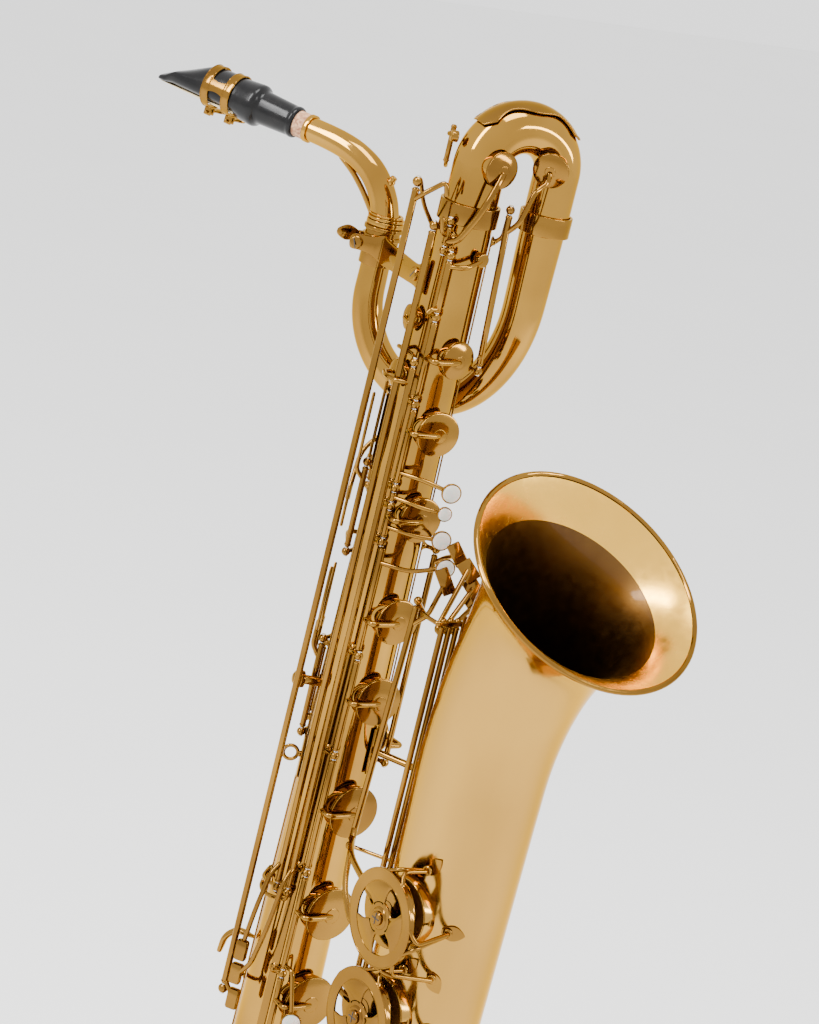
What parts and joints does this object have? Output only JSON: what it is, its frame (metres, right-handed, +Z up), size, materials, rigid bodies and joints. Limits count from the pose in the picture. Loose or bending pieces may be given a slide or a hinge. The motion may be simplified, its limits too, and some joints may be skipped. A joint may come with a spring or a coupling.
{
  "type": "baritone saxophone",
  "caption": "Low-A baritone saxophone: conical brass body, looped crook, bell, swivelling neck, mouthpiece on cork and sprung keywork on posts.",
  "frame": {"origin": "middle of the strap ring that carries the instrument", "axes": "+Z up along the body tube towards the upper crook, +X from the body tube towards the bell, -Y the side of the long side-key rods"},
  "size_m": [0.5827, 0.1906, 1.1015],
  "materials": {
    "bell_lacquer": "clear gold lacquer, softer sheen on the flare",
    "cane": "dry cane",
    "cork": "greased sheet cork",
    "ebonite": "polished black hard rubber",
    "gold_lacquer": "clear gold lacquer over polished brass"
  },
  "bodies": {
    "root": {"bell": "bell_lacquer", "bell_posts": "gold_lacquer", "body_bell_brace": "gold_lacquer", "body_tube": "gold_lacquer", "bottom_bow": "gold_lacquer", "bow_sleeve_bell": "gold_lacquer", "bow_sleeve_body": "gold_lacquer", "brace_plate": "gold_lacquer", "crook_guard_plate": "gold_lacquer", "crook_sleeve_body": "gold_lacquer", "crook_sleeve_loop": "gold_lacquer", "left_side_posts": "gold_lacquer", "low_B_flat_guard": "gold_lacquer", "low_B_guard": "gold_lacquer", "lower_stack_posts": "gold_lacquer", "neck_receiver": "gold_lacquer", "palm_key_posts": "gold_lacquer", "pigtail": "gold_lacquer", "side_key_posts": "gold_lacquer", "strap_ring": "gold_lacquer", "thumb_rest": "gold_lacquer", "upper_crook": "gold_lacquer", "upper_stack_posts": "gold_lacquer"},
    "neck_body": {"neck": "gold_lacquer", "neck_cork": "cork"},
    "mouthpiece_body": {"mouthpiece": "ebonite", "reed": "cane", "ligature": "gold_lacquer"},
    "ligature_screw_1_body": {"ligature_screw_1": "gold_lacquer"},
    "ligature_screw_2_body": {"ligature_screw_2": "gold_lacquer"},
    "neck_clamp_screw_body": {"neck_clamp_screw": "gold_lacquer"},
    "octave_key_body": {"octave_key": "gold_lacquer"},
    "high_D_key_body": {"high_D_key": "gold_lacquer"},
    "key_B_body": {"key_B": "gold_lacquer"},
    "key_A_body": {"key_A": "gold_lacquer"},
    "bis_key_body": {"bis_key": "gold_lacquer"},
    "key_G_body": {"key_G": "gold_lacquer"},
    "key_F_sharp_body": {"key_F_sharp": "gold_lacquer"},
    "key_F_vent_body": {"key_F_vent": "gold_lacquer"},
    "key_F_body": {"key_F": "gold_lacquer"},
    "key_E_body": {"key_E": "gold_lacquer"},
    "key_D_body": {"key_D": "gold_lacquer"},
    "key_E_flat_body": {"key_E_flat": "gold_lacquer"},
    "low_C_key_body": {"low_C_key": "gold_lacquer"},
    "side_C_key_body": {"side_C_key": "gold_lacquer"},
    "side_B_flat_key_body": {"side_B_flat_key": "gold_lacquer"},
    "high_E_long_rod_body": {"high_E_long_rod": "gold_lacquer"},
    "high_E_key_body": {"high_E_key": "gold_lacquer"},
    "crook_vent_key_body": {"crook_vent_key": "gold_lacquer"},
    "palm_D_key_body": {"palm_D_key": "gold_lacquer"},
    "palm_E_flat_key_body": {"palm_E_flat_key": "gold_lacquer"},
    "palm_F_key_body": {"palm_F_key": "gold_lacquer"},
    "octave_lever_body": {"octave_lever": "gold_lacquer"},
    "low_A_lever_body": {"low_A_lever": "gold_lacquer"},
    "G_sharp_key_body": {"G_sharp_key": "gold_lacquer"},
    "low_C_sharp_key_body": {"low_C_sharp_key": "gold_lacquer"},
    "low_A_key_body": {"low_A_key": "gold_lacquer"},
    "low_B_flat_key_body": {"low_B_flat_key": "gold_lacquer"},
    "low_B_key_body": {"low_B_key": "gold_lacquer"},
    "crook_octave_key_body": {"crook_octave_key": "gold_lacquer"}
  },
  "joints": [
    {"name": "neck_swivel", "type": "hinge", "parent": "root", "child": "neck_body", "pos_m": [-0.07299, 0.02843, 0.3847], "axis": [0, 0, 1], "range_deg": [-25, 25]},
    {"name": "mouthpiece_slide", "type": "slide", "parent": "neck_body", "child": "mouthpiece_body", "axis": [-0.9035, -0.4204, 0.0834], "range_m": [-0.002, 0.008]},
    {"name": "ligature_screw_1_turn", "type": "hinge", "parent": "mouthpiece_body", "child": "ligature_screw_1_body", "pos_m": [-0.20877, -0.03475, 0.42918], "axis": [-0.4218, 0.9067, 0], "range_deg": [-90, 90]},
    {"name": "ligature_screw_2_turn", "type": "hinge", "parent": "mouthpiece_body", "child": "ligature_screw_2_body", "pos_m": [-0.22593, -0.04273, 0.43077], "axis": [-0.4218, 0.9067, 0], "range_deg": [-90, 90]},
    {"name": "neck_clamp_screw_turn", "type": "hinge", "parent": "root", "child": "neck_clamp_screw_body", "pos_m": [-0.0896, 0.03393, 0.3792], "axis": [0.3145, 0.9493, 0], "range_deg": [-90, 90]},
    {"name": "octave_key_hinge", "type": "hinge", "parent": "root", "child": "octave_key_body", "pos_m": [0.03905, 0.00712, 0.3797], "axis": [0, 0, -1], "range_deg": [0, 9], "stiffness_Nm_per_rad": 0.2, "springref_deg": -20.05},
    {"name": "high_D_key_hinge", "type": "hinge", "parent": "root", "child": "high_D_key_body", "pos_m": [0.03905, 0.00712, 0.3237], "axis": [0, 0, -1], "range_deg": [0, 8], "stiffness_Nm_per_rad": 0.2, "springref_deg": -20.05},
    {"name": "key_B_hinge", "type": "hinge", "parent": "root", "child": "key_B_body", "pos_m": [0.03905, 0.00712, 0.2587], "axis": [0, 0, -1], "range_deg": [-6, 0], "stiffness_Nm_per_rad": 0.2, "springref_deg": 20.05},
    {"name": "key_A_hinge", "type": "hinge", "parent": "root", "child": "key_A_body", "pos_m": [0.03905, 0.00712, 0.1987], "axis": [0, 0, -1], "range_deg": [-6, 0], "stiffness_Nm_per_rad": 0.2, "springref_deg": 20.05},
    {"name": "bis_key_hinge", "type": "hinge", "parent": "root", "child": "bis_key_body", "pos_m": [0.03905, 0.00712, 0.2197], "axis": [0, 0, -1], "range_deg": [-6, 0], "stiffness_Nm_per_rad": 0.2, "springref_deg": 20.05},
    {"name": "key_G_hinge", "type": "hinge", "parent": "root", "child": "key_G_body", "pos_m": [0.04155, 0.00704, 0.1407], "axis": [0, 0, -1], "range_deg": [-5, 0], "stiffness_Nm_per_rad": 0.2, "springref_deg": 20.05},
    {"name": "key_F_sharp_hinge", "type": "hinge", "parent": "root", "child": "key_F_sharp_body", "pos_m": [0.04405, 0.00696, 0.0567], "axis": [0, 0, -1], "range_deg": [-5, 0], "stiffness_Nm_per_rad": 0.2, "springref_deg": 20.05},
    {"name": "key_F_vent_hinge", "type": "hinge", "parent": "root", "child": "key_F_vent_body", "pos_m": [0.04405, 0.00696, -0.0313], "axis": [0, 0, -1], "range_deg": [-5, 0], "stiffness_Nm_per_rad": 0.2, "springref_deg": 20.05},
    {"name": "key_F_hinge", "type": "hinge", "parent": "root", "child": "key_F_body", "pos_m": [0.04405, 0.00696, -0.1213], "axis": [0, 0, -1], "range_deg": [-5, 0], "stiffness_Nm_per_rad": 0.2, "springref_deg": 20.05},
    {"name": "key_E_hinge", "type": "hinge", "parent": "root", "child": "key_E_body", "pos_m": [0.04405, 0.00696, -0.2003], "axis": [0, 0, -1], "range_deg": [-5, 0], "stiffness_Nm_per_rad": 0.2, "springref_deg": 20.05},
    {"name": "key_D_hinge", "type": "hinge", "parent": "root", "child": "key_D_body", "pos_m": [0.04405, 0.00696, -0.2713], "axis": [0, 0, -1], "range_deg": [-5, 0], "stiffness_Nm_per_rad": 0.2, "springref_deg": 20.05},
    {"name": "key_E_flat_hinge", "type": "hinge", "parent": "root", "child": "key_E_flat_body", "pos_m": [0.00396, -0.01344, -0.3043], "axis": [0, 0, -1], "range_deg": [0, 7], "stiffness_Nm_per_rad": 0.3, "springref_deg": -20.05},
    {"name": "low_C_key_hinge", "type": "hinge", "parent": "root", "child": "low_C_key_body", "pos_m": [0.04616, 0.00399, -0.3713], "axis": [0, 0, -1], "range_deg": [-5, 0], "stiffness_Nm_per_rad": 0.3, "springref_deg": 20.05},
    {"name": "side_C_key_hinge", "type": "hinge", "parent": "root", "child": "side_C_key_body", "pos_m": [0.02561, -0.00324, 0.1607], "axis": [0, 0, 1], "range_deg": [0, 8], "stiffness_Nm_per_rad": 0.3, "springref_deg": -20.05},
    {"name": "side_B_flat_key_hinge", "type": "hinge", "parent": "root", "child": "side_B_flat_key_body", "pos_m": [0.03592, 0.00002, 0.1112], "axis": [0, 0, 1], "range_deg": [0, 8], "stiffness_Nm_per_rad": 0.3, "springref_deg": -20.05},
    {"name": "high_E_long_rod_hinge", "type": "hinge", "parent": "root", "child": "high_E_long_rod_body", "pos_m": [0.01381, -0.01954, 0.12985], "axis": [0.0018, -0.008, -1], "range_deg": [0, 6], "stiffness_Nm_per_rad": 0.4, "springref_deg": -20.05},
    {"name": "high_E_key_hinge", "type": "hinge", "parent": "root", "child": "high_E_key_body", "pos_m": [0.03062, 0.0062, 0.4148], "axis": [0, 0, -1], "range_deg": [0, 7], "stiffness_Nm_per_rad": 0.2, "springref_deg": -20.05},
    {"name": "crook_vent_key_hinge", "type": "hinge", "parent": "root", "child": "crook_vent_key_body", "pos_m": [0.04381, 0.04979, 0.38035], "axis": [0.025, 0.0311, -0.9992], "range_deg": [0, 6], "stiffness_Nm_per_rad": 0.2, "springref_deg": -20.05},
    {"name": "palm_D_key_hinge", "type": "hinge", "parent": "root", "child": "palm_D_key_body", "pos_m": [-0.0028, 0.0093, 0.1962], "axis": [0, 0, 1], "range_deg": [0, 8], "stiffness_Nm_per_rad": 0.2, "springref_deg": -20.05},
    {"name": "palm_E_flat_key_hinge", "type": "hinge", "parent": "root", "child": "palm_E_flat_key_body", "pos_m": [-0.01558, 0.02532, 0.2467], "axis": [0, 0, 1], "range_deg": [0, 8], "stiffness_Nm_per_rad": 0.2, "springref_deg": -20.05},
    {"name": "palm_F_key_hinge", "type": "hinge", "parent": "root", "child": "palm_F_key_body", "pos_m": [-0.01556, 0.03813, 0.2842], "axis": [0, 0, 1], "range_deg": [0, 8], "stiffness_Nm_per_rad": 0.2, "springref_deg": -20.05},
    {"name": "octave_lever_hinge", "type": "hinge", "parent": "root", "child": "octave_lever_body", "pos_m": [-0.00218, 0.00688, 0.0537], "axis": [0, 0, 1], "range_deg": [0, 8], "stiffness_Nm_per_rad": 0.2, "springref_deg": -20.05},
    {"name": "low_A_lever_hinge", "type": "hinge", "parent": "root", "child": "low_A_lever_body", "pos_m": [-0.01294, 0.01743, 0.0542], "axis": [0, 0, 1], "range_deg": [0, 8], "stiffness_Nm_per_rad": 0.2, "springref_deg": -20.05},
    {"name": "G_sharp_key_hinge", "type": "hinge", "parent": "root", "child": "G_sharp_key_body", "pos_m": [0.04319, 0.05541, 0.0947], "axis": [0.0019, 0.0024, -1], "range_deg": [0, 6], "stiffness_Nm_per_rad": 0.2, "springref_deg": -20.05},
    {"name": "low_C_sharp_key_hinge", "type": "hinge", "parent": "root", "child": "low_C_sharp_key_body", "pos_m": [0.12701, 0.02193, -0.0948], "axis": [0, 0, 1], "range_deg": [0, 5], "stiffness_Nm_per_rad": 0.5, "springref_deg": -20.05},
    {"name": "low_A_key_hinge", "type": "hinge", "parent": "root", "child": "low_A_key_body", "pos_m": [0.12701, 0.01543, -0.0598], "axis": [0, 0, -1], "range_deg": [-5, 0], "stiffness_Nm_per_rad": 0.5, "springref_deg": 20.05},
    {"name": "low_B_flat_key_hinge", "type": "hinge", "parent": "root", "child": "low_B_flat_key_body", "pos_m": [0.12701, 0.00893, 0.0052], "axis": [0, 0, -1], "range_deg": [-5, 0], "stiffness_Nm_per_rad": 0.5, "springref_deg": 20.05},
    {"name": "low_B_key_hinge", "type": "hinge", "parent": "root", "child": "low_B_key_body", "pos_m": [0.08211, 0.01443, 0.0582], "axis": [-0.0189, -0.0235, -0.9995], "range_deg": [-3, 0], "stiffness_Nm_per_rad": 0.5, "springref_deg": 20.05},
    {"name": "crook_octave_key_hinge", "type": "hinge", "parent": "root", "child": "crook_octave_key_body", "pos_m": [-0.00212, 0.01526, 0.4747], "axis": [0, 0, 1], "range_deg": [0, 10], "stiffness_Nm_per_rad": 0.2, "springref_deg": -20.05}
  ],
  "couplings": [
    {"joint": "high_E_key_hinge", "follows": "high_E_long_rod_hinge", "ratio": 1.1667},
    {"joint": "octave_key_hinge", "follows": "octave_lever_hinge", "ratio": 1.125},
    {"joint": "low_A_lever_hinge", "follows": "low_A_key_hinge", "ratio": -1.6}
  ]
}
